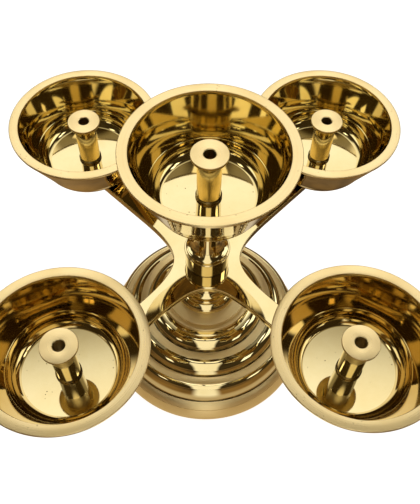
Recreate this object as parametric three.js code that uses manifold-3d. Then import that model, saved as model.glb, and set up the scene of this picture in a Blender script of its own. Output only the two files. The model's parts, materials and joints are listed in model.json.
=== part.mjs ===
// Brass standing oil lamp: a stepped foot, a centre column, a four-armed plate and five cups.
// Millimetres, +Z up, origin at the middle of the foot's underside.
import * as THREE from "three";
import { mergeVertices } from "three/addons/utils/BufferGeometryUtils.js";
import Module from "manifold-3d";

const wasm = await Module();
wasm.setup();

// ---- Driving dimensions ----

// Foot, from the land that carries the column outwards and down: run is across, rise is down
const LAND_RADIUS = 17.7;
const LAND_STEP = { run: 0.7, rise: 3.4 };
const SMALL_BEAD = { run: 4.8, rise: 4.5 };
const FLAT_STEP_RUN = 3;
const MIDDLE_BEAD = { run: 4.9, rise: 5.5 };
const COVE = { run: 2.7, rise: 1 };
const BIG_BEAD = { run: 3.5, rise: 9.4 };
const SKIRT = { run: 2.4, rise: 3 };
const BAND = { run: 1.6, rise: 6.6 };
const GROOVE_INSET = 2; // from the edge of the land
const GROOVE_DEPTH = 0.5;
const FOOT_WALL = 3.2;
const ROOF_THICKNESS = 3.6;

// Column between the foot and the arm plate
const COLUMN_LENGTH = 20.1;
const COLUMN_BEAD_RADIUS = 12;
const COLUMN_BEAD_HEIGHT = 6.6;
const COLUMN_NECK_RADIUS = 6.2;
const COLUMN_TOP = { lip: 1.8, height: 3 }; // the plain head under the plate

// Arm plate
const PLATE_THICKNESS = 3;
const ARM_REACH = 64.3; // from the stand's axis to a cup's axis
const ARM_HALF_WIDTH = 4;
const ARM_COUNT = 4;
const HUB_CROTCH_RADIUS = 12.2; // from the axis to the edge between two arms
const HUB_FLARE_LENGTH = 17.8; // from the hub's edge to where an arm is plain
const PAD_RADIUS = 8.5;

// Collar and stem above the plate
const COLLAR_HEIGHT = 8;
const COLLAR_RADIUS = 8.2;
const COLLAR_WAIST_DEPTH = 0.3;
const STEM_LENGTH = 25.6;
const STEM_RADIUS = 4.6;
const STEM_HEAD_LIP = 2.8; // how far the stem spreads under the cup

// Cups
const CUP_RADIUS = 27.5;
const RIM_WIDTH = 3.3;
const ARM_CUP_DEPTH = 20;
const CENTRE_CUP_DEPTH = 22;
const CUP_FLOOR_RADIUS = 15.4;
const CUP_FLOOR_THICKNESS = 2.4;
const CUP_CORNER = { run: 3.6, rise: 5.4 }; // from the floor's edge to the straight wall
const CUP_WALL = 1.5; // where the wall meets the corner
const CUP_RIM_EDGE = 0.9; // height of the rim's outer edge
const EDGE_BREAK = 0.3;
const CUP_FOOT_RADIUS = 10.5;
const CUP_FOOT_HEIGHT = 1.9;

// Wick posts
const POST_HEIGHT = 20;
const POST_RADIUS = 3.9;
const POST_FOOT_LIP = 0.4;
const POST_DISC_LIP = 2;
const POST_DISC_THICKNESS = 1.1;
const WICK_BORE_RADIUS = 1.9;

// Fasteners
const ROD_RADIUS = 3;
const ROD_TAIL = 16; // rod below the roof of the foot
const STEM_SOCKET_DEPTH = 12;
const NUT_ACROSS_FLATS = 10;
const NUT_HEIGHT = 5;
const WASHER_RADIUS = 8;
const WASHER_THICKNESS = 1.2;
const SCREW_RADIUS = 1.7;
const SCREW_GRIP = 6; // screw inside the wick post
const SCREW_HEAD_RADIUS = 3.6;
const SCREW_HEAD_HEIGHT = 2.2;
const SCREW_SLOT_WIDTH = 1;
const SCREW_SLOT_DEPTH = 1.1;
const SMALL_WASHER_RADIUS = 4.8;
const SMALL_WASHER_THICKNESS = 0.8;

// Fits
const SEAT_GAP = 0.05; // between faces that rest on each other
const BORE_GAP = 0.3; // around a rod or a screw in its hole

// Smoothness: sides of a turned piece
const LARGE_SIDES = 40;
const CUP_SIDES = 32;
const STEM_SIDES = 24;
const SMALL_SIDES = 16;

// ---- Heights that follow ----

// Radius and height of each edge of the foot, from the land down to the floor
const landTop = { radius: LAND_RADIUS, drop: 0 };
const below = (edge, step) => ({ radius: edge.radius + step.run, drop: edge.drop + step.rise });
const smallBeadTop = below(landTop, LAND_STEP);
const flatStepTop = below(smallBeadTop, SMALL_BEAD);
const middleBeadTop = below(flatStepTop, { run: FLAT_STEP_RUN, rise: 0 });
const coveTop = below(middleBeadTop, MIDDLE_BEAD);
const bigBeadTop = below(coveTop, COVE);
const skirtTop = below(bigBeadTop, BIG_BEAD);
const bandTop = below(skirtTop, SKIRT);
const floorEdge = below(bandTop, BAND);
const FOOT_HEIGHT = floorEdge.drop;
const ROOF_Z = FOOT_HEIGHT - ROOF_THICKNESS;
const COLUMN_Z = FOOT_HEIGHT + SEAT_GAP;
const PLATE_Z = COLUMN_Z + COLUMN_LENGTH + SEAT_GAP;
const PLATE_TOP_Z = PLATE_Z + PLATE_THICKNESS;
const COLLAR_Z = PLATE_TOP_Z + SEAT_GAP;
const STEM_Z = COLLAR_Z + COLLAR_HEIGHT + SEAT_GAP;
const CENTRE_CUP_Z = STEM_Z + STEM_LENGTH + SEAT_GAP;
const ARM_CUP_Z = PLATE_TOP_Z + SEAT_GAP;
const CUP_BOTTOM = CUP_FOOT_HEIGHT + CUP_FLOOR_THICKNESS; // from a cup's foot to its floor
const ROD_BORE = ROD_RADIUS + BORE_GAP;
const SCREW_BORE = SCREW_RADIUS + BORE_GAP;

// ---- Helpers ----

const point = (radius, height) => new THREE.Vector2(radius, height);

// A stretch of ellipse in a turned outline, angles in quarter turns from straight out.
function sweep(centreRadius, centreHeight, across, up, from, to, steps) {
  const points = [];
  for (let i = 0; i <= steps; i += 1) {
    const angle = ((from + ((to - from) * i) / steps) * Math.PI) / 2;
    points.push(point(centreRadius + across * Math.cos(angle), centreHeight + up * Math.sin(angle)));
  }
  return points;
}

// A convex quarter round from its low outer edge to its high inner edge.
function bead(low, high, steps = 4) {
  return sweep(high.x, low.y, low.x - high.x, high.y - low.y, 0, 1, steps);
}

// A hollow quarter round from its low outer edge to its high inner edge.
function cove(low, high, steps = 4) {
  return sweep(low.x, high.y, low.x - high.x, high.y - low.y, 3, 2, steps);
}

// An outline of radius and height turned round the Z axis; it runs outwards from below and closes.
function turned(outline, sides) {
  const geometry = new THREE.LatheGeometry([...outline, outline[0].clone()], sides);
  return geometry.rotateX(Math.PI / 2);
}

function flatRing(outer, inner, thickness, sides) {
  return turned([point(inner, 0), point(outer, 0), point(outer, thickness), point(inner, thickness)], sides);
}

function solidOf(geometry) {
  const bare = geometry.clone();
  bare.deleteAttribute("normal");
  bare.deleteAttribute("uv");
  const merged = mergeVertices(bare, 1e-4);
  const triVerts = new Uint32Array(merged.index.array);
  const vertProperties = merged.attributes.position.array;
  return new wasm.Manifold(new wasm.Mesh({ numProp: 3, vertProperties, triVerts }));
}

function geometryOf(solid) {
  const mesh = solid.getMesh();
  const geometry = new THREE.BufferGeometry();
  geometry.setAttribute("position", new THREE.BufferAttribute(mesh.vertProperties, 3));
  geometry.setIndex(new THREE.BufferAttribute(mesh.triVerts, 1));
  const flat = geometry.toNonIndexed();
  flat.computeVertexNormals();
  return flat;
}

const polishedBrass = () => new THREE.MeshStandardMaterial({ color: 0xc8963c, roughness: 0.12, metalness: 1 });
const satinBrass = () => new THREE.MeshStandardMaterial({ color: 0xe0c078, roughness: 0.35, metalness: 1 });
const steel = () => new THREE.MeshStandardMaterial({ color: 0x9a9c9e, roughness: 0.4, metalness: 1 });

function piece(name, geometry, material, height = 0) {
  const mesh = new THREE.Mesh(geometry, material);
  mesh.name = name;
  mesh.position.z = height;
  return mesh;
}

// ---- Foot ----

// A thin turned dome of three beads and flat steps, open underneath.
function footGeometry() {
  const grooveRadius = LAND_RADIUS - GROOVE_INSET;
  const edge = ({ radius, drop }) => point(radius, FOOT_HEIGHT - drop);
  const inner = ({ radius, drop }) => point(radius - FOOT_WALL, FOOT_HEIGHT - drop - FOOT_WALL * 0.3);
  const outside = [
    point(floorEdge.radius, 0),
    point(floorEdge.radius, BAND.rise / 2),
    edge(bandTop),
    ...bead(edge(skirtTop), edge(bigBeadTop), 5),
    ...cove(edge(bigBeadTop), edge(coveTop), 2),
    ...bead(edge(coveTop), edge(middleBeadTop)),
    ...bead(edge(flatStepTop), edge(smallBeadTop)),
    point(LAND_RADIUS, FOOT_HEIGHT - GROOVE_DEPTH),
    point(LAND_RADIUS - GROOVE_DEPTH, FOOT_HEIGHT),
    point(grooveRadius + GROOVE_DEPTH, FOOT_HEIGHT),
    point(grooveRadius, FOOT_HEIGHT - GROOVE_DEPTH),
    point(grooveRadius - GROOVE_DEPTH, FOOT_HEIGHT),
    point(ROD_BORE, FOOT_HEIGHT),
  ];
  const inside = [
    point(ROD_BORE, ROOF_Z),
    point(LAND_RADIUS - FOOT_WALL, ROOF_Z),
    inner(flatStepTop),
    inner(coveTop),
    inner(skirtTop),
    point(floorEdge.radius - FOOT_WALL, 0),
  ];
  return turned([...outside, ...inside], LARGE_SIDES);
}

// ---- Column, collar and stem ----

function columnGeometry() {
  const shoulder = COLUMN_BEAD_RADIUS - 2;
  const top = COLUMN_NECK_RADIUS + COLUMN_TOP.lip;
  const headZ = COLUMN_LENGTH - COLUMN_TOP.height;
  return turned(
    [
      point(ROD_BORE, 0),
      point(COLUMN_BEAD_RADIUS - 0.4, 0),
      ...bead(point(COLUMN_BEAD_RADIUS, 0.4), point(shoulder, COLUMN_BEAD_HEIGHT), 5),
      ...cove(
        point(shoulder - 0.6, COLUMN_BEAD_HEIGHT + 0.8),
        point(COLUMN_NECK_RADIUS, COLUMN_BEAD_HEIGHT + 5),
      ),
      point(COLUMN_NECK_RADIUS, headZ - 1.2),
      point(top, headZ),
      point(top, COLUMN_LENGTH),
      point(ROD_BORE, COLUMN_LENGTH),
    ],
    STEM_SIDES,
  );
}

function collarGeometry() {
  const lip = 1;
  const waistHalf = COLLAR_HEIGHT / 2 - lip;
  return turned(
    [
      point(ROD_BORE, 0),
      point(COLLAR_RADIUS, 0),
      ...sweep(COLLAR_RADIUS, COLLAR_HEIGHT / 2, COLLAR_WAIST_DEPTH, waistHalf, 3, 1, 6),
      point(COLLAR_RADIUS, COLLAR_HEIGHT),
      point(ROD_BORE, COLLAR_HEIGHT),
    ],
    STEM_SIDES,
  );
}

// The stem carries its own stud, which passes the centre cup and enters the wick post.
function stemGeometry() {
  const flareHeight = 7;
  const headHeight = 4;
  const studTop = STEM_LENGTH + SEAT_GAP + CUP_BOTTOM + SEAT_GAP + SCREW_GRIP;
  const flareRadius = COLLAR_RADIUS - 0.6;
  const headRadius = STEM_RADIUS + STEM_HEAD_LIP;
  return turned(
    [
      point(ROD_BORE, 0),
      point(flareRadius, 0),
      ...cove(point(flareRadius, 0.6), point(STEM_RADIUS, flareHeight), 5),
      ...sweep(headRadius, STEM_LENGTH - headHeight, STEM_HEAD_LIP, headHeight - 1, 2, 1, 4),
      point(headRadius, STEM_LENGTH),
      point(SCREW_RADIUS, STEM_LENGTH),
      point(SCREW_RADIUS, studTop),
      point(0, studTop),
      point(0, STEM_SOCKET_DEPTH),
      point(ROD_BORE, STEM_SOCKET_DEPTH),
    ],
    STEM_SIDES,
  );
}

// ---- Arm plate ----

function plateGeometry() {
  const outline = new THREE.Shape();
  const spread = (2 * Math.PI) / ARM_COUNT;
  const crotchPull = 4.6; // length of the curve's handle at the hub
  const armPull = 12; // and along the arm
  const flareEnd = HUB_CROTCH_RADIUS + HUB_FLARE_LENGTH;
  const padAngle = Math.asin(ARM_HALF_WIDTH / PAD_RADIUS);
  const padStart = ARM_REACH - PAD_RADIUS * Math.cos(padAngle);
  const at = (angle, along, side) => [
    along * Math.cos(angle) - side * Math.sin(angle),
    along * Math.sin(angle) + side * Math.cos(angle),
  ];
  outline.moveTo(...at(0, HUB_CROTCH_RADIUS, 0));
  for (let i = 0; i < ARM_COUNT; i += 1) {
    const crotch = i * spread;
    const arm = crotch + spread / 2;
    const next = crotch + spread;
    outline.bezierCurveTo(
      ...at(crotch, HUB_CROTCH_RADIUS, crotchPull),
      ...at(arm, flareEnd - armPull, -ARM_HALF_WIDTH),
      ...at(arm, flareEnd, -ARM_HALF_WIDTH),
    );
    outline.lineTo(...at(arm, padStart, -ARM_HALF_WIDTH));
    const turn = Math.PI - padAngle;
    outline.absarc(...at(arm, ARM_REACH, 0), PAD_RADIUS, arm - turn, arm + turn, false);
    outline.lineTo(...at(arm, flareEnd, ARM_HALF_WIDTH));
    outline.bezierCurveTo(
      ...at(arm, flareEnd - armPull, ARM_HALF_WIDTH),
      ...at(next, HUB_CROTCH_RADIUS, -crotchPull),
      ...at(next, HUB_CROTCH_RADIUS, 0),
    );
    const hole = new THREE.Path();
    hole.absarc(...at(arm, ARM_REACH, 0), SCREW_BORE, 0, 2 * Math.PI, true);
    outline.holes.push(hole);
  }
  const middle = new THREE.Path();
  middle.absarc(0, 0, ROD_BORE, 0, 2 * Math.PI, true);
  outline.holes.push(middle);
  return new THREE.ExtrudeGeometry(outline, { depth: PLATE_THICKNESS, bevelEnabled: false, curveSegments: 8 });
}

// ---- Cups and wick posts ----

// A straight-sided bowl with a broad flat rim, a rounded corner inside and a flat turned foot.
function cupGeometry(depth) {
  const height = CUP_BOTTOM + depth;
  const mouth = CUP_RADIUS - RIM_WIDTH;
  const cornerRadius = CUP_FLOOR_RADIUS + CUP_CORNER.run;
  const cornerHeight = CUP_BOTTOM + CUP_CORNER.rise;
  return turned(
    [
      point(SCREW_BORE, 0),
      point(CUP_FOOT_RADIUS, 0),
      point(CUP_FOOT_RADIUS, CUP_FOOT_HEIGHT),
      point(CUP_FLOOR_RADIUS + 0.4, CUP_FOOT_HEIGHT + 1),
      point(CUP_FLOOR_RADIUS + 2.6, CUP_FOOT_HEIGHT + 3.6),
      point(cornerRadius + CUP_WALL, cornerHeight),
      point(CUP_RADIUS, height - CUP_RIM_EDGE),
      point(CUP_RADIUS, height - EDGE_BREAK),
      point(CUP_RADIUS - EDGE_BREAK, height),
      point(mouth + EDGE_BREAK, height),
      point(mouth, height - EDGE_BREAK),
      point(cornerRadius, cornerHeight),
      point(CUP_FLOOR_RADIUS + 2.2, CUP_BOTTOM + 1.6),
      point(CUP_FLOOR_RADIUS, CUP_BOTTOM),
      point(SCREW_BORE, CUP_BOTTOM),
    ],
    CUP_SIDES,
  );
}

// The bore takes the screw from below and the wick from above.
function postGeometry() {
  const footHeight = 1.3;
  const footRadius = POST_RADIUS + POST_FOOT_LIP;
  const discRadius = POST_RADIUS + POST_DISC_LIP;
  const discUnderside = POST_HEIGHT - POST_DISC_THICKNESS;
  const screwEnd = SCREW_GRIP + 1;
  return turned(
    [
      point(SCREW_BORE, 0),
      point(footRadius, 0),
      point(footRadius, footHeight),
      point(POST_RADIUS, footHeight + 0.4),
      point(POST_RADIUS, discUnderside),
      point(discRadius, discUnderside),
      point(discRadius, POST_HEIGHT),
      point(WICK_BORE_RADIUS + 0.4, POST_HEIGHT),
      point(WICK_BORE_RADIUS, POST_HEIGHT - 0.4),
      point(WICK_BORE_RADIUS, screwEnd + 0.5),
      point(SCREW_BORE, screwEnd),
    ],
    SMALL_SIDES,
  );
}

// ---- Fasteners ----

function rodGeometry(length) {
  return turned([point(0, 0), point(ROD_RADIUS, 0), point(ROD_RADIUS, length), point(0, length)], SMALL_SIDES);
}

function nutGeometry() {
  const outline = new THREE.Shape();
  const corner = NUT_ACROSS_FLATS / 2 / Math.cos(Math.PI / 6);
  for (let i = 0; i < 6; i += 1) {
    const angle = (i * Math.PI) / 3;
    const corners = [corner * Math.cos(angle), corner * Math.sin(angle)];
    if (i === 0) outline.moveTo(...corners);
    else outline.lineTo(...corners);
  }
  outline.closePath();
  const bore = new THREE.Path();
  bore.absarc(0, 0, ROD_BORE, 0, 2 * Math.PI, true);
  outline.holes.push(bore);
  return new THREE.ExtrudeGeometry(outline, { depth: NUT_HEIGHT, bevelEnabled: false, curveSegments: 8 });
}

// A slotted screw with its head down; height zero is the head's bearing face.
function screwGeometry() {
  const length = SMALL_WASHER_THICKNESS + 2 * SEAT_GAP + PLATE_THICKNESS + SEAT_GAP + CUP_BOTTOM + SCREW_GRIP;
  const blank = turned(
    [
      point(0, -SCREW_HEAD_HEIGHT),
      point(SCREW_HEAD_RADIUS - 0.5, -SCREW_HEAD_HEIGHT),
      point(SCREW_HEAD_RADIUS, 0.5 - SCREW_HEAD_HEIGHT),
      point(SCREW_HEAD_RADIUS, 0),
      point(SCREW_RADIUS, 0),
      point(SCREW_RADIUS, length),
      point(0, length),
    ],
    SMALL_SIDES,
  );
  const slot = new THREE.BoxGeometry(3 * SCREW_HEAD_RADIUS, SCREW_SLOT_WIDTH, 2 * SCREW_SLOT_DEPTH);
  slot.translate(0, 0, -SCREW_HEAD_HEIGHT);
  return geometryOf(solidOf(blank).subtract(solidOf(slot)));
}

// ---- Assembly ----

const group = new THREE.Group();

group.add(piece("base_shell", footGeometry(), polishedBrass()));
group.add(piece("lower_column", columnGeometry(), polishedBrass(), COLUMN_Z));
group.add(piece("spider_plate", plateGeometry(), polishedBrass(), PLATE_Z));
group.add(piece("collar", collarGeometry(), polishedBrass(), COLLAR_Z));
group.add(piece("upper_stem", stemGeometry(), polishedBrass(), STEM_Z));

const rodTop = STEM_Z + STEM_SOCKET_DEPTH - 1;
const rodBottom = ROOF_Z - ROD_TAIL;
group.add(piece("tie_rod", rodGeometry(rodTop - rodBottom), steel(), rodBottom));
const washerZ = ROOF_Z - SEAT_GAP - WASHER_THICKNESS;
const washer = flatRing(WASHER_RADIUS, ROD_BORE, WASHER_THICKNESS, SMALL_SIDES);
group.add(piece("base_washer", washer, steel(), washerZ));
group.add(piece("base_nut", nutGeometry(), steel(), washerZ - SEAT_GAP - NUT_HEIGHT));

group.add(piece("cup_centre", cupGeometry(CENTRE_CUP_DEPTH), polishedBrass(), CENTRE_CUP_Z));
group.add(piece("wick_post_centre", postGeometry(), satinBrass(), CENTRE_CUP_Z + CUP_BOTTOM + SEAT_GAP));

const smallWasherZ = PLATE_Z - SEAT_GAP - SMALL_WASHER_THICKNESS;
["back_right", "back_left", "front_left", "front_right"].forEach((place, i) => {
  const arm = new THREE.Group();
  const angle = ((i + 0.5) * 2 * Math.PI) / ARM_COUNT;
  arm.position.set(ARM_REACH * Math.cos(angle), ARM_REACH * Math.sin(angle), 0);
  const smallWasher = flatRing(SMALL_WASHER_RADIUS, SCREW_BORE, SMALL_WASHER_THICKNESS, SMALL_SIDES);
  arm.add(piece(`cup_${place}`, cupGeometry(ARM_CUP_DEPTH), polishedBrass(), ARM_CUP_Z));
  arm.add(piece(`wick_post_${place}`, postGeometry(), satinBrass(), ARM_CUP_Z + CUP_BOTTOM + SEAT_GAP));
  arm.add(piece(`arm_washer_${place}`, smallWasher, steel(), smallWasherZ));
  arm.add(piece(`arm_screw_${place}`, screwGeometry(), steel(), smallWasherZ - SEAT_GAP));
  group.add(arm);
});

export default group;
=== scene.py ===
"""Looks of a brass standing oil lamp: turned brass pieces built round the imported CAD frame."""

import json
import math

import bmesh
import bpy
from mathutils import Matrix, Vector

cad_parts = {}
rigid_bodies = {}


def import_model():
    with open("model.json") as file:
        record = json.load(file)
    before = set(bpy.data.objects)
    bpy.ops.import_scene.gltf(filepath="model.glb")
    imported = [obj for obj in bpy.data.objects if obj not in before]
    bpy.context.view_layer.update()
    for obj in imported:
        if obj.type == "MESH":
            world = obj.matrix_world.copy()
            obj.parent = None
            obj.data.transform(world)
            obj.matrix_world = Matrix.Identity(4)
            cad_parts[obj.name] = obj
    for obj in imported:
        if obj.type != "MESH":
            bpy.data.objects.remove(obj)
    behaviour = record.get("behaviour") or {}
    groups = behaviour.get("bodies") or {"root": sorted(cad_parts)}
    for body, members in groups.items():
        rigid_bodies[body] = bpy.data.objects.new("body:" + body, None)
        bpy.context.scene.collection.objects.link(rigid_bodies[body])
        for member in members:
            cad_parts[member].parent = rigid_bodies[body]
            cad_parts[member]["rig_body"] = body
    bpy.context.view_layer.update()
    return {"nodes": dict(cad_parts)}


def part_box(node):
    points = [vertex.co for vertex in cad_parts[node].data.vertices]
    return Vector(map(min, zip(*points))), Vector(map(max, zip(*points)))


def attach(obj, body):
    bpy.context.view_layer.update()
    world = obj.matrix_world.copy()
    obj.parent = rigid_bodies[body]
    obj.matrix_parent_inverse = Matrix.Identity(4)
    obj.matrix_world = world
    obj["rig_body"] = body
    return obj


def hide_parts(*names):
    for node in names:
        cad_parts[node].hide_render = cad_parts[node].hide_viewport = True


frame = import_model()

MM = 0.001
PLACES = ("back_right", "back_left", "front_left", "front_right")
FINE_SIDES = 192
POST_SIDES = 128
SHARP_ANGLE = math.radians(32)

# Fits that several pieces share, in millimetres.
ROD_HOLE = 3.3
SCREW_HOLE = 2.0
SEAT_GAP = 0.05  # between faces that rest on each other


# ---- Outlines: lists of (radius, height) in millimetres, run anticlockwise ----


def arc(centre, across, up, start, end, steps=16):
    """A stretch of ellipse; angles in degrees from straight out."""
    points = []
    for k in range(steps + 1):
        angle = math.radians(start + (end - start) * k / steps)
        points.append((centre[0] + across * math.cos(angle), centre[1] + up * math.sin(angle)))
    return points


def quarter_bead(low, high, steps=16):
    """A quarter of an ellipse, bulging outwards, from its foot up to its top."""
    return arc((high[0], low[1]), low[0] - high[0], high[1] - low[1], 0, 90, steps)


def bend(start, pull, end, steps=16):
    """A curve from start to end, drawn towards pull."""
    points = []
    for k in range(steps + 1):
        t = k / steps
        weights = ((1 - t) ** 2, 2 * t * (1 - t), t * t)
        points.append(tuple(sum(w * p[i] for w, p in zip(weights, (start, pull, end))) for i in (0, 1)))
    return points


def rounded(corners, steps=4):
    """Corners (radius, height, fillet) as an outline; the first and last keep their places."""
    longest_reach = 0.49  # of either side, so that neighbouring fillets never meet
    outline = []
    for i, (r, z, fillet) in enumerate(corners):
        if fillet == 0 or i in (0, len(corners) - 1):
            outline.append((r, z))
            continue
        here = Vector((r, z))
        before = Vector(corners[i - 1][:2]) - here
        after = Vector(corners[i + 1][:2]) - here
        half = before.angle(after) / 2
        reach = min(fillet / math.tan(half), before.length * longest_reach, after.length * longest_reach)
        outline += bend(here + before.normalized() * reach, here, here + after.normalized() * reach, steps)
    return outline


def thinned(points):
    """The points without any that repeat the one before."""
    same_place = 1e-4
    kept = []
    for p in points:
        if not kept or math.dist(p[:2], kept[-1][:2]) > same_place:
            kept.append(p)
    if math.dist(kept[0][:2], kept[-1][:2]) < same_place:
        kept.pop()
    return kept


# ---- Mesh helpers ----


def ring_of_points(mesh, r, z, sides):
    """A ring of vertices in millimetres, or a single vertex on the axis."""
    if r < 1e-6:
        return [mesh.verts.new((0, 0, z * MM))]
    ring = []
    for k in range(sides):
        angle = 2 * math.pi * k / sides
        ring.append(mesh.verts.new((r * MM * math.cos(angle), r * MM * math.sin(angle), z * MM)))
    return ring


def skin(mesh, low, high, material_index):
    """Faces between two rings, of which one may be a single vertex."""
    for k in range(max(len(low), len(high))):
        corners = [low[k % len(low)], low[(k + 1) % len(low)],
                   high[(k + 1) % len(high)], high[k % len(high)]]
        face = mesh.faces.new(list(dict.fromkeys(corners)))
        face.smooth = True
        face.material_index = material_index


def crease(mesh, ring):
    """Makes the edges round a ring sharp."""
    for k, vertex in enumerate(ring):
        mesh.edges.get((vertex, ring[(k + 1) % len(ring)])).smooth = False


def lathe(name, stretches, middle, base, materials, sides=FINE_SIDES):
    """A closed outline turned round an upright axis. stretches are (material index, outline) pairs."""
    points = thinned([(r, z, index) for index, outline in stretches for r, z in outline])
    count = len(points)
    mesh = bmesh.new()
    rings = [ring_of_points(mesh, r, z, sides) for r, z, _ in points]
    for i, ring in enumerate(rings):
        following = rings[(i + 1) % count]
        if len(ring) > 1 or len(following) > 1:
            skin(mesh, ring, following, points[i][2])
    bmesh.ops.recalc_face_normals(mesh, faces=mesh.faces)
    for i, ring in enumerate(rings):
        here, before, after = (Vector(points[j % count][:2]) for j in (i, i - 1, i + 1))
        if len(ring) > 1 and (here - before).angle(after - here) > SHARP_ANGLE:
            crease(mesh, ring)
    return finished(name, mesh, Vector((middle[0], middle[1], base)), materials)


def finished(name, mesh, place, materials):
    """The mesh as an object in the scene."""
    data = bpy.data.meshes.new(name)
    mesh.to_mesh(data)
    mesh.free()
    for material in materials:
        data.materials.append(material)
    piece = bpy.data.objects.new(name, data)
    piece.location = place
    bpy.context.scene.collection.objects.link(piece)
    return piece


def stands_for(piece, node):
    """The piece shows instead of its CAD node and moves with that node's body."""
    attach(piece, frame["nodes"][node]["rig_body"])
    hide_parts(node)


def size_of(node):
    """(middle, base, radius in mm, height in mm) of a turned CAD node."""
    low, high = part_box(node)
    middle = ((low.x + high.x) / 2, (low.y + high.y) / 2)
    return middle, low.z, (high.x - low.x) / 2 / MM, (high.z - low.z) / MM


# ---- Materials ----


class Nodes:
    """Short calls for building a node tree."""

    def __init__(self, tree):
        self.tree = tree
        tree.nodes.clear()

    def add(self, kind, inputs=None, **settings):
        node = self.tree.nodes.new(kind)
        for key, value in settings.items():
            setattr(node, key, value)
        for key, value in (inputs or {}).items():
            self.feed(node.inputs[key], value)
        return node

    def feed(self, socket, value):
        """Links a socket to the input, or sets the input to a plain value."""
        if isinstance(value, bpy.types.NodeSocket):
            self.tree.links.new(value, socket)
        else:
            socket.default_value = value

    def math(self, operation, *values):
        return self.add("ShaderNodeMath", dict(enumerate(values)), operation=operation).outputs[0]

    def times(self, a, b):
        return self.math("MULTIPLY", a, b)

    def plus(self, a, b):
        return self.math("ADD", a, b)

    def distance(self, x, y):
        """How far (x, y) is from (0, 0)."""
        return self.math("SQRT", self.plus(self.times(x, x), self.times(y, y)))

    def rise(self, value, start, end):
        """0 up to start and 1 from end on, with a soft slope between."""
        inputs = {"Value": value, "From Min": start, "From Max": end}
        return self.add("ShaderNodeMapRange", inputs, interpolation_type="SMOOTHSTEP").outputs[0]

    def below(self, value, high, soft):
        """1 where value is below high, fading over soft."""
        return self.math("SUBTRACT", 1.0, self.rise(value, high, high + soft))

    def between(self, value, low, high, soft):
        """1 where value is between low and high, fading over soft."""
        return self.math("SUBTRACT", self.rise(value, low - soft, low), self.rise(value, high, high + soft))

    def remap(self, value, low, high, to_low, to_high):
        inputs = {"Value": value, "From Min": low, "From Max": high, "To Min": to_low, "To Max": to_high}
        return self.add("ShaderNodeMapRange", inputs).outputs[0]

    def noise(self, vector, scale, detail=2.0, roughness=0.5):
        inputs = {"Vector": vector, "Scale": scale, "Detail": detail, "Roughness": roughness}
        return self.add("ShaderNodeTexNoise", inputs).outputs["Fac"]

    def mix(self, factor, a, b):
        """Colour a where factor is 0 and colour b where it is 1."""
        node = self.add("ShaderNodeMix", data_type="RGBA")
        for socket, value in ((node.inputs[0], factor), (node.inputs[6], a), (node.inputs[7], b)):
            self.feed(socket, value)
        return node.outputs[2]


def new_material(name):
    """A material and the builder of its node tree."""
    material = bpy.data.materials.new(name)
    material.use_nodes = True
    return material, Nodes(material.node_tree)


def turned_position(nodes):
    """Object position, its parts, and a vector that is the same all the way round the piece's axis."""
    place = nodes.add("ShaderNodeTexCoord").outputs["Object"]
    parts = nodes.add("ShaderNodeSeparateXYZ", {"Vector": place}).outputs
    radius = nodes.distance(parts[0], parts[1])
    return place, parts, nodes.add("ShaderNodeCombineXYZ", {0: radius, 1: parts[2]}).outputs[0]


PIT_COLOR = (0.06, 0.03, 0.01, 1)
# Painted shade: the colour of dark bands painted into corners where shade falls, and how softly they fade.
PAINTED_SHADE_COLOR = (0.05, 0.032, 0.012, 1)
PAINTED_SHADE_FADE = 0.5  # mm
# The rough patch that casting left on a front post: on the viewer's side, near its top, in mm.
PATCH_FRONT, PATCH_FRONT_FADE = -1.8, 1.2
PATCH_LOW, PATCH_HIGH, PATCH_FADE = 12.5, 18.6, 1.5
PATCH_HEIGHT = 60  # times the depth of the turning lines


def pit_mask(nodes, place, amount):
    """Small holes, gathered in a few sparse clusters."""
    specks = nodes.add("ShaderNodeTexVoronoi", {"Vector": place, "Scale": 900.0}).outputs["Distance"]
    clusters = nodes.rise(nodes.noise(place, 260, 2), 0.59, 0.62)
    return nodes.times(nodes.times(nodes.below(specks, 0.12, 0.06), clusters), amount)


def painted_shade_mask(nodes, place, up, low, high):
    """A band of painted shade between two heights in mm, its strength varied by noise."""
    band = nodes.between(up, low * MM, high * MM, PAINTED_SHADE_FADE * MM)
    return nodes.times(band, nodes.remap(nodes.noise(place, 300, 3), 0.35, 0.6, 0.6, 1.0))


def cast_patch_mask(nodes, parts):
    front = nodes.below(parts[1], PATCH_FRONT * MM, PATCH_FRONT_FADE * MM)
    return nodes.times(front, nodes.between(parts[2], PATCH_LOW * MM, PATCH_HIGH * MM, PATCH_FADE * MM))


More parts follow.
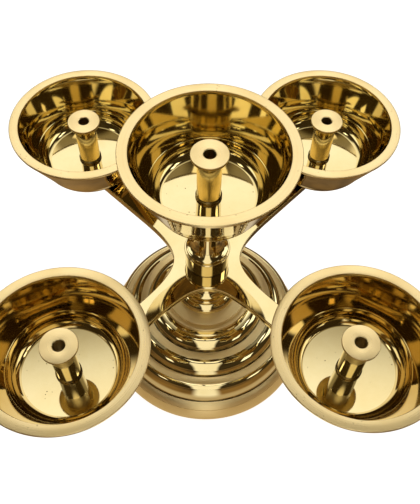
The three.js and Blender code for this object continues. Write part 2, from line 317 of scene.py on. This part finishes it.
def brass(name, color, deep_color, roughness, marks, pits=0.0, anisotropy=0.0, cast_patch=False, painted_shade_bands=()):
    """Turned brass. marks is the depth of the turning lines in metres and pits how strong the holes are.
    The last argument lists (low, high) heights in mm of dark bands painted on as shade in corners."""
    material, nodes = new_material(name)
    place, parts, around = turned_position(nodes)
    lines = nodes.noise(around, 2600, 4, 0.7)
    broad = nodes.noise(around, 420, 2)
    stain = nodes.noise(place, 55, 4, 0.6)
    shade = nodes.mix(nodes.remap(stain, 0.35, 0.75, 0.0, 0.55), (*color, 1), (*deep_color, 1))
    rough = nodes.plus(nodes.remap(lines, 0.3, 0.7, roughness * 0.8, roughness * 1.25),
                       nodes.remap(stain, 0.5, 0.8, 0.0, roughness * 0.3))
    height = nodes.plus(nodes.times(lines, 0.6), nodes.times(broad, 0.4))
    if pits:
        hole = pit_mask(nodes, place, pits)
        shade = nodes.mix(hole, shade, PIT_COLOR)
        rough = nodes.plus(rough, nodes.times(hole, 0.4))
    for low, high in painted_shade_bands:
        shade = nodes.mix(painted_shade_mask(nodes, place, parts[2], low, high), shade, PAINTED_SHADE_COLOR)
    if cast_patch:
        patch = cast_patch_mask(nodes, parts)
        grain = nodes.noise(place, 1500, 5, 0.75)
        height = nodes.plus(height, nodes.times(nodes.times(grain, patch), PATCH_HEIGHT))
        rough = nodes.plus(rough, nodes.times(patch, 0.3))
    bump = nodes.add("ShaderNodeBump", {"Strength": 1.0, "Distance": marks, "Height": height})
    shader = nodes.add("ShaderNodeBsdfPrincipled", {
        "Base Color": shade, "Metallic": 1.0, "Roughness": rough, "Normal": bump.outputs[0]})
    if anisotropy:
        shader.inputs["Anisotropic"].default_value = anisotropy
        tangent = nodes.add("ShaderNodeTangent", direction_type="RADIAL", axis="Z")
        nodes.feed(shader.inputs["Tangent"], tangent.outputs[0])
    nodes.add("ShaderNodeOutputMaterial", {"Surface": shader.outputs[0]})
    return material


def zinc_plate(name):
    """Dull zinc plating: bluish grey, cloudy, with fine rub marks."""
    material, nodes = new_material(name)
    place, _, around = turned_position(nodes)
    cloud = nodes.noise(place, 160, 4, 0.65)
    lines = nodes.noise(around, 3500, 3, 0.7)
    shade = nodes.mix(nodes.remap(cloud, 0.3, 0.7, 0, 1), (0.50, 0.51, 0.52, 1), (0.66, 0.65, 0.60, 1))
    rough = nodes.remap(cloud, 0.3, 0.7, 0.28, 0.5)
    bump = nodes.add("ShaderNodeBump", {"Strength": 1.0, "Distance": 2e-6, "Height": lines})
    shader = nodes.add("ShaderNodeBsdfPrincipled", {
        "Base Color": shade, "Metallic": 1.0, "Roughness": rough, "Normal": bump.outputs[0]})
    nodes.add("ShaderNodeOutputMaterial", {"Surface": shader.outputs[0]})
    return material


# Each brass is a clean colour and the deeper one of its stains.
GOLD = ((0.75, 0.63, 0.34), (0.64, 0.49, 0.20))
SATIN_GOLD = ((0.83, 0.66, 0.34), (0.80, 0.59, 0.24))
BORE_GOLD = (SATIN_GOLD[0], GOLD[1])
# Painted shade: the cups' inner walls take darker copies of the brass, and the front cups' walls the darkest.
CUP_WALL_SHADED_GOLD = ((0.70, 0.57, 0.27), (0.56, 0.42, 0.15))
FRONT_WALL_SHADED_GOLD = ((0.62, 0.47, 0.20), (0.46, 0.31, 0.10))
RAW_GOLD = ((0.62, 0.44, 0.20), (0.40, 0.27, 0.12))

MIRROR_FINISH = {"roughness": 0.035, "marks": 2.0e-7}
COLLAR_FINISH = {"roughness": 0.045, "marks": 2.0e-7}
WALL_FINISH = {"roughness": 0.06, "marks": 8.0e-7}
POST_FINISH = {"roughness": 0.09, "marks": 1.2e-6}
RIM_FINISH = {"roughness": 0.30, "marks": 2.0e-6, "anisotropy": 0.5}
DISC_FINISH = {"roughness": 0.30, "marks": 2.5e-6, "anisotropy": 0.75}
STEP_FINISH = {"roughness": 0.44, "marks": 2.0e-6}
BORE_FINISH = {"roughness": 0.55, "marks": 4.0e-6}
RAW_FINISH = {"roughness": 0.42, "marks": 1.2e-5}
# Painted shade: a dark ring at the foot of each post, and a thin dark line at the foot of the collar where it
# meets the plate.
POST_PAINTED_SHADE = [(-1, 1.2)]
COLLAR_PAINTED_SHADE = [(-1, 0.1)]

mirror = brass("mirror_brass", *GOLD, **MIRROR_FINISH)
pitted_mirror = brass("pitted_mirror_brass", *GOLD, **MIRROR_FINISH, pits=1.0)
# Painted shade: the cup walls use the darker wall colours above.
shaded_turned_wall = brass("turned_wall_brass", *CUP_WALL_SHADED_GOLD, **WALL_FINISH)
shaded_front_wall = brass("front_wall_brass", *FRONT_WALL_SHADED_GOLD, **WALL_FINISH)
satin = brass("satin_rim_brass", *SATIN_GOLD, **RIM_FINISH, pits=0.6)
disc_face = brass("satin_disc_brass", *SATIN_GOLD, **DISC_FINISH)
post_side = brass("post_brass", *GOLD, **POST_FINISH, painted_shade_bands=POST_PAINTED_SHADE)
rough_post_side = brass("rough_post_brass", *GOLD, **POST_FINISH, cast_patch=True, painted_shade_bands=POST_PAINTED_SHADE)
bore_wall = brass("wick_bore_brass", *BORE_GOLD, **BORE_FINISH)
collar_mirror = brass("collar_brass", *GOLD, **COLLAR_FINISH, painted_shade_bands=COLLAR_PAINTED_SHADE)
step_satin = brass("satin_step_brass", *SATIN_GOLD, **STEP_FINISH)
raw_inside = brass("raw_brass", *RAW_GOLD, **RAW_FINISH, pits=1.0)
zinc = zinc_plate("zinc_plate")


# ---- Foot, column, collar and stem ----


def make_foot():
    """A plain band, a sloping skirt, three beads with steps between them, and a grooved land on top."""
    middle, base, radius, top = size_of("base_shell")
    land = radius - 23.6
    roof, wall, inner_fillet = 3.6, 3.2, 0.8
    groove, groove_depth = 2.0, 0.45
    painted_shade_height = 1.1
    shine, dull, raw = 0, 1, 2
    # Each bead's lower end: how far out from the land's edge and how far down from the top.
    small_bead, middle_bead, big_bead = (5.5, 7.9), (13.4, 13.4), (19.6, 23.8)

    def at(out, down, *fillet):
        return (land + out, top - down, *fillet)

    grooved_land = [
        (ROD_HOLE, top), at(-groove - 0.5, 0), at(-groove - 0.3, 0.12), at(-groove - 0.15, groove_depth),
        at(-groove + 0.15, groove_depth), at(-groove + 0.3, 0.12), at(-groove + 0.5, 0)
    ]
    skirt = bend(at(19.8, 23.9), at(20.9, 24.6), at(21.9, 26.5))
    band = rounded([at(22.2, 27.0, 0), (radius - 0.15, 2.4, 0.5), (radius, 0.35, 0.2), (radius - 0.35, 0, 0)])
    outside = [
        (dull, grooved_land + rounded([at(-0.6, 0, 0), at(0, 0, 0.35), at(0.15, 1.2, 0)])),
        (shine, bend(at(0.15, 1.2), at(0.2, 3.3), at(0.7, 3.4))
         + quarter_bead(at(*small_bead), at(0.9, 3.55))[::-1]),
        (dull, rounded([at(*small_bead, 0), at(5.7, 7.9, 0), at(8.2, 7.95, 0.3)])),
        (shine, quarter_bead(at(*middle_bead), at(8.6, 8.1))[::-1]),
        (dull, bend(at(13.6, 13.4), at(13.8, 14.35), at(16.0, 14.25))),
        (shine, quarter_bead(at(*big_bead), at(16.2, 14.5))[::-1]),
        (dull, [at(19.75, 23.8)] + skirt + [at(22.05, 26.75), at(22.0, 27.0)] + band),
    ]
    hollow = [at(19.2, 27.2), at(16.6, 24.5), at(13.2, 16.0), at(10.0, 14.6), at(3.0, 9.0), at(-3.2, 4.2)]
    inside = rounded([(radius - wall, 0, 0)] + [(r, z, inner_fillet) for r, z in hollow]
                     + [at(-4.0, roof, 0), (ROD_HOLE, top - roof, 0)])
    # Painted shade: a dark band at the lower end of each bead, where it meets the step below.
    painted_shade_bands = [(top - down, top - down + painted_shade_height) for _, down in (small_bead, middle_bead, big_bead)]
    beads = brass("foot_bead_brass", *GOLD, **MIRROR_FINISH, painted_shade_bands=painted_shade_bands)
    piece = lathe("foot", outside + [(raw, inside)], middle, base, [beads, step_satin, raw_inside])
    stands_for(piece, "base_shell")


def make_column():
    """A bead at the bottom, a narrow neck and a plain head under the arm plate."""
    middle, base, radius, height = size_of("lower_column")
    neck = radius - 5.8
    head = height - 3
    bead = 3.2
    out = (
        [(ROD_HOLE, 0), (radius - 1.6, 0)]
        + arc((radius - bead, bead), bead, bead - 0.1, -60, 78, 24)
        + [(radius - 2.35, 6.6)]
        + bend((radius - 2.6, 7.3), (neck + 0.2, 7.9), (neck, 11.6))
        + bend((neck, head - 2.6), (neck, head - 1.0), (neck + 1.2, head - 0.5))
        + rounded([(neck + 1.2, head - 0.5, 0), (neck + 1.8, head, 0.15), (neck + 1.8, height, 0.25),
                   (ROD_HOLE, height, 0)])
    )
    piece = lathe("column", [(0, out)], middle, base, [mirror])
    stands_for(piece, "lower_column")


def make_collar():
    """An almost straight drum with a small lip at its top."""
    middle, base, radius, height = size_of("collar")
    out = rounded([
        (ROD_HOLE, 0, 0), (radius - 0.25, 0, 0.2), (radius - 0.3, height - 1.0, 0.3),
        (radius, height - 0.8, 0.15), (radius, height, 0.3), (ROD_HOLE, height, 0)])
    piece = lathe("stem_collar", [(0, out)], middle, base, [collar_mirror])
    stands_for(piece, "collar")


def make_stem():
    """Flares at both ends; a stud on top goes into the middle wick post, and the rod into its socket."""
    middle, base, radius, height = size_of("upper_stem")
    length = (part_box("cup_centre")[0].z - base) / MM - SEAT_GAP
    shaft = 4.6
    head = shaft + 2.8
    stud = 1.7
    socket_depth = 12
    out = (
        rounded([(ROD_HOLE, 0, 0), (radius, 0, 0.25), (radius, 0.7, 0.25), (radius - 0.3, 1.0, 0)])
        + bend((radius - 0.3, 1.0), (shaft + 0.1, 2.2), (shaft, 7.0), 24)
        + bend((shaft, length - 5.0), (shaft + 0.1, length - 1.6), (head - 0.5, length - 0.8), 20)
        + rounded([(head - 0.5, length - 0.8, 0), (head, length - 0.7, 0.1), (head, length, 0.15),
                   (stud, length, 0), (stud, height - 0.3, 0), (stud - 0.3, height, 0), (0, height, 0)])
        + [(0, socket_depth), (ROD_HOLE, socket_depth)]
    )
    piece = lathe("stem", [(0, out)], middle, base, [mirror])
    stands_for(piece, "upper_stem")


# ---- Cups and wick posts ----


def make_cup(place, wall_material, floor_material):
    """A flared cup on a low foot, with a flat rim and a slightly dished floor."""
    node = "cup_" + place
    middle, base, radius, height = size_of(node)
    foot, foot_height = 10.5, 1.9
    floor, floor_radius, post_edge, dish = 4.3, 15.4, 4.3, 0.45
    floor_steps = 30
    mouth = radius - 3.3
    wall_foot = (18.9, floor + 5.4)
    outside = (
        rounded([(SCREW_HOLE, 0, 0), (foot, 0, 0.3), (foot, foot_height, 0.2), (12.6, 1.95, 0)])
        + bend((12.6, 1.95), (17.6, 2.1), (18.9, 6.4), 20)
        + bend((18.9, 6.4), (19.6, 8.0), (20.5, 9.7), 6)
        + [(radius - 0.1, height - 0.9)]
    )
    rim = rounded([(radius, height - 0.8, 0), (radius, height, 0.3), (mouth, height, 0.16),
                   (mouth - 0.12, height - 0.8, 0)])
    wall = (
        [(mouth - 0.12, height - 0.8)]
        + bend((mouth - 0.13, height - 0.9), (20.9, floor + 12), (19.25, floor + 6.1), 24)
        + bend((19.25, floor + 6.1), (18.95, floor + 5.9), wall_foot, 6)
        + bend(wall_foot, (18.4, floor + 1.7), (floor_radius, floor + dish), 28)
    )
    rise = dish / (floor_radius ** 2 - post_edge ** 2)
    bottom = []
    for k in range(floor_steps):
        r = floor_radius - (floor_radius - post_edge) * k / floor_steps
        bottom.append((r, floor + rise * (r * r - post_edge ** 2)))
    bottom += [(post_edge, floor), (SCREW_HOLE, floor)]
    piece = lathe("cup." + place, [(0, outside), (1, rim), (2, wall), (3, bottom)],
                  middle, base, [mirror, satin, wall_material, floor_material])
    stands_for(piece, node)


def make_post(place, side_material):
    """A turned post with a small foot, a flat disc on top, a bored wick hole and the screw's hole below."""
    node = "wick_post_" + place
    middle, base, disc, height = size_of(node)
    shaft = disc - 2
    under = height - 1.1
    wick_hole, wick_hole_floor = 1.9, 7.5
    side = (
        [(SCREW_HOLE, 0), (shaft, 0)]
        + arc((shaft - 0.3, 0.65), 0.7, 0.65, -60, 60, 12)
        + [(shaft, 1.45), (shaft, under - 0.15), (shaft + 0.15, under)]
    )
    top = rounded([(shaft + 0.4, under, 0), (disc, under, 0.22), (disc, height, 0.22), (2.12, height, 0.08),
                   (wick_hole, height - 0.25, 0)])
    bore = [(wick_hole, height - 0.25), (wick_hole, wick_hole_floor), (SCREW_HOLE, wick_hole_floor - 0.5)]
    piece = lathe("wick_post." + place, [(0, side), (1, top), (2, bore)], middle, base,
                  [side_material, disc_face, bore_wall], POST_SIDES)
    stands_for(piece, node)


# ---- Arm plate ----


def plate_outline(reach):
    """Points round the whole plate, in mm: from each crotch of the hub out round an arm's pad and back."""
    hub = 12.2
    half_width = 4.0
    flare_end = hub + 17.8
    pad = 8.5
    pad_angle = math.asin(half_width / pad)
    crotch_pull = 4.6
    arm_pull = 12
    edge_steps = 32
    pad_steps = 48
    outline = []

    def at(angle, along, side):
        return Vector((along * math.cos(angle) - side * math.sin(angle),
                       along * math.sin(angle) + side * math.cos(angle)))

    def cubic(*points):
        for k in range(edge_steps):
            t = k / edge_steps
            weights = ((1 - t) ** 3, 3 * t * (1 - t) ** 2, 3 * t * t * (1 - t), t ** 3)
            outline.append(sum((w * p for w, p in zip(weights, points)), Vector((0, 0))))

    for i in range(4):
        crotch, arm, following = i * math.pi / 2, (i + 0.5) * math.pi / 2, (i + 1) * math.pi / 2
        cubic(at(crotch, hub, 0), at(crotch, hub, crotch_pull),
              at(arm, flare_end - arm_pull, -half_width), at(arm, flare_end, -half_width))
        outline.append(at(arm, flare_end, -half_width))
        turn = math.pi - pad_angle
        centre = at(arm, reach, 0)
        for k in range(pad_steps + 1):
            angle = arm - turn + 2 * turn * k / pad_steps
            outline.append(centre + pad * Vector((math.cos(angle), math.sin(angle))))
        cubic(at(arm, flare_end, half_width), at(arm, flare_end - arm_pull, half_width),
              at(following, hub, -crotch_pull), at(following, hub, 0))
    return outline


def circle(centre, radius, sides):
    """Points round a circle, in mm."""
    return [(centre[0] + radius * math.cos(2 * math.pi * k / sides),
             centre[1] + radius * math.sin(2 * math.pi * k / sides)) for k in range(sides)]


def add_spline(curve, points):
    """A closed loop of the curve; a loop inside another is a hole."""
    spline = curve.splines.new("POLY")
    spline.points.add(len(points) - 1)
    for target, p in zip(spline.points, points):
        target.co = (p[0] * MM, p[1] * MM, 0, 1)
    spline.use_cyclic_u = True


def plate_curve(thickness):
    """The plate as a flat curve with its holes, thickened and given a rounded edge."""
    edge = 0.28
    curve = bpy.data.curves.new("arm_plate_outline", "CURVE")
    curve.dimensions = "2D"
    curve.fill_mode = "BOTH"
    curve.extrude = (thickness / 2 - edge) * MM
    curve.bevel_depth = edge * MM
    curve.bevel_resolution = 3
    curve.offset = -edge * MM
    middles = [size_of("cup_" + place)[0] for place in PLACES]
    add_spline(curve, plate_outline(math.hypot(*middles[0]) / MM))
    add_spline(curve, circle((0, 0), ROD_HOLE, 64))
    for x, y in middles:
        add_spline(curve, circle((x / MM, y / MM), SCREW_HOLE, 48))
    return curve


def mesh_of_curve(curve):
    """The curve's solid, with its loose corners joined."""
    source = bpy.data.objects.new("arm_plate_outline", curve)
    bpy.context.scene.collection.objects.link(source)
    bpy.context.view_layer.update()
    solid = bpy.data.meshes.new_from_object(source.evaluated_get(bpy.context.evaluated_depsgraph_get()))
    bpy.data.objects.remove(source)
    mesh = bmesh.new()
    mesh.from_mesh(solid)
    bmesh.ops.remove_doubles(mesh, verts=mesh.verts, dist=1e-7)
    bmesh.ops.recalc_face_normals(mesh, faces=mesh.faces)
    return mesh


def make_plate():
    low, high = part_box("spider_plate")
    mesh = mesh_of_curve(plate_curve((high.z - low.z) / MM))
    for face in mesh.faces:
        face.smooth = abs(face.normal.z) < 0.999
        face.material_index = 0
    for line in mesh.edges:
        if any(not f.smooth for f in line.link_faces) or line.calc_face_angle(0) > SHARP_ANGLE:
            line.smooth = False
    piece = finished("arm_plate_top", mesh, Vector((0, 0, (low.z + high.z) / 2)), [mirror])
    stands_for(piece, "spider_plate")


# ---- Steel fasteners: the CAD nodes' shapes are right, so they only take a finish ----


def finish_steel():
    names = ["tie_rod", "base_washer", "base_nut"]
    for place in PLACES:
        names += ["arm_washer_" + place, "arm_screw_" + place]
    for name in names:
        node = frame["nodes"][name]
        node.data.materials.clear()
        node.data.materials.append(zinc)


make_foot()
make_column()
make_plate()
make_collar()
make_stem()
make_cup("centre", shaded_turned_wall, pitted_mirror)
make_post("centre", post_side)
for place in PLACES:
    in_front = place.startswith("front")
    make_cup(place, shaded_front_wall if in_front else shaded_turned_wall, pitted_mirror if in_front else mirror)
    make_post(place, rough_post_side if in_front else post_side)
finish_steel()


# ---- Floor, light and camera ----

ROOM_DARK = (0.012, 0.007, 0.002)
ROOM_LIGHT = (0.09, 0.065, 0.03)
# Lit patches of the room, each drawn over those before it: (from, to) to the side and (from, to) over the
# lamp, in degrees, how soft the edges are each way, and the colour. Over the lamp, 0 is level behind it,
# 90 straight above and 180 level on the viewer's side.
LIGHT_PATCHES = (
    # A pale backdrop behind the lamp, under a dimmer one.
    ((-22, 22), (64, 80), (8, 8), (0.40, 0.37, 0.30)),
    ((-28, 28), (34, 64), (10, 9), (1.46, 1.43, 1.38)),
    # A narrow window on the viewer's side, and a small one to each side of it.
    ((-10, 10), (112, 190), (5, 5), (1.35, 1.3, 1.2)),
    ((40, 50), (138, 160), (2, 3), (2.1, 2.1, 2.0)),
    ((-42, -36), (142, 154), (2, 3), (2.0, 1.9, 1.8)),
    # Two strip lights above, and small lamps to the sides of them.
    ((-7, -0.8), (84, 100), (0.6, 3), (2.0, 1.95, 1.85)),
    ((0.8, 7), (84, 100), (0.6, 3), (2.0, 1.95, 1.85)),
    ((31, 37), (82, 88), (0.6, 0.8), (4.0, 4.0, 4.0)),
    ((31, 37), (91, 97), (0.6, 0.8), (4.0, 4.0, 4.0)),
    ((-33, -28), (87, 93), (1.2, 1.5), (3.5, 3.4, 3.2)),
    # Tall panels far out to the right and the left.
    ((50, 70), (25, 100), (3, 8), (2.0, 2.0, 1.9)),
    ((-70, -52), (30, 95), (3, 8), (1.7, 1.7, 1.6)),
)

# What the camera sees of the floor, and the painted reflection that the brass mirrors of it, which the floor
# gives off as glow.
SEEN_FLOOR = (0.88, 0.87, 0.855, 1)
MIRRORED_NEAR = (0.62, 0.50, 0.33, 1)
MIRRORED_FAR_DARK = (0.05, 0.025, 0.005, 1)
MIRRORED_FAR_LIGHT = (0.30, 0.17, 0.05, 1)
MIRRORED_STRIP = (1.25, 1.2, 1.1, 1)
# In metres.
FLOOR_RADIUS = 3.0
FLOOR_GAP = 0.0001
NEAR_RADIUS = 0.048
STRIP_START = -0.055
STRIP_SLOPE = 0.10  # how far the bright strip spreads to each side, per distance to the front


def mirrored_floor(nodes, place, x, y):
    """Painted reflection given off as glow: tan close round the foot, patchy dark amber farther out, and a
    bright strip towards the viewer.
    """
    patchy = nodes.remap(nodes.noise(place, 9, 4, 0.6), 0.4, 0.6, 0, 1)
    far = nodes.mix(patchy, MIRRORED_FAR_DARK, MIRRORED_FAR_LIGHT)
    warm = nodes.mix(nodes.below(nodes.distance(x, y), NEAR_RADIUS, 0.008), far, MIRRORED_NEAR)
    along_strip = nodes.between(nodes.math("DIVIDE", x, y), -STRIP_SLOPE, STRIP_SLOPE, 0.12)
    strip = nodes.times(along_strip, nodes.below(y, STRIP_START, 0.01))
    return nodes.mix(strip, warm, MIRRORED_STRIP)


def make_floor():
    mesh = bmesh.new()
    bmesh.ops.create_circle(mesh, cap_ends=True, segments=96, radius=FLOOR_RADIUS)
    material, nodes = new_material("pale_floor")
    place = nodes.add("ShaderNodeTexCoord").outputs["Object"]
    x, y = nodes.add("ShaderNodeSeparateXYZ", {"Vector": place}).outputs[:2]
    seen = nodes.add("ShaderNodeLightPath").outputs["Is Camera Ray"]
    tone = nodes.times(nodes.remap(nodes.noise(place, 6), 0.3, 0.7, 0.98, 1.02),
                       nodes.remap(seen, 0, 1, 0.04, 0.5))
    color = nodes.add("ShaderNodeCombineColor", {0: tone, 1: tone, 2: tone}).outputs[0]
    glow = nodes.mix(seen, mirrored_floor(nodes, place, x, y), SEEN_FLOOR)
    shader = nodes.add("ShaderNodeBsdfPrincipled", {
        "Base Color": color, "Roughness": 0.9, "Specular IOR Level": 0.0,
        "Emission Color": glow, "Emission Strength": 1.0})
    nodes.add("ShaderNodeOutputMaterial", {"Surface": shader.outputs[0]})
    finished("floor", mesh, Vector((0, 0, -FLOOR_GAP)), [material])


def make_light():
    """A dim room with the lit patches; the camera itself sees plain white."""
    world = bpy.data.worlds.new("studio")
    world.use_nodes = True
    bpy.context.scene.world = world
    nodes = Nodes(world.node_tree)
    direction = nodes.add("ShaderNodeTexCoord").outputs["Generated"]
    x, y, z = nodes.add("ShaderNodeSeparateXYZ", {"Vector": direction}).outputs[:3]
    to_degrees = 180 / math.pi
    over = nodes.times(nodes.math("ARCTAN2", z, y), to_degrees)
    side = nodes.times(nodes.math("ARCSINE", x), to_degrees)
    color = nodes.mix(nodes.noise(direction, 2.2, 3), (*ROOM_DARK, 1), (*ROOM_LIGHT, 1))
    for side_range, over_range, (side_soft, over_soft), shade in LIGHT_PATCHES:
        across = nodes.between(side, *side_range, side_soft)
        inside = nodes.times(across, nodes.between(over, *over_range, over_soft))
        color = nodes.mix(inside, color, (*shade, 1))
    seen = nodes.add("ShaderNodeLightPath").outputs["Is Camera Ray"]
    color = nodes.mix(seen, color, (1, 1, 1, 1))
    background = nodes.add("ShaderNodeBackground", {"Color": color, "Strength": 1.0})
    nodes.add("ShaderNodeOutputWorld", {"Surface": background.outputs[0]})


def make_camera():
    """The photo's view: from above the front, looking down, a little to the left and slightly rolled."""
    place = Vector((-5.33, -131.2, 265.5)) * MM
    heading, pitch, roll = (math.radians(a) for a in (2.76, 57.02, -1.94))
    flat = math.cos(pitch)
    forward = Vector((math.sin(heading) * flat, math.cos(heading) * flat, -math.sin(pitch)))
    level_right = Vector((math.cos(heading), -math.sin(heading), 0))
    level_down = forward.cross(level_right)
    right = math.cos(roll) * level_right + math.sin(roll) * level_down
    up = math.sin(roll) * level_right - math.cos(roll) * level_down
    data = bpy.data.cameras.new("camera")
    data.sensor_width = 36
    data.lens = 48.0
    data.shift_y = -0.0058
    data.clip_start = 0.01
    camera = bpy.data.objects.new("camera", data)
    camera.matrix_world = Matrix.Translation(place) @ Matrix((right, up, -forward)).transposed().to_4x4()
    bpy.context.scene.collection.objects.link(camera)
    bpy.context.scene.camera = camera


make_floor()
make_light()
make_camera()
bpy.context.scene.view_settings.view_transform = "Standard"
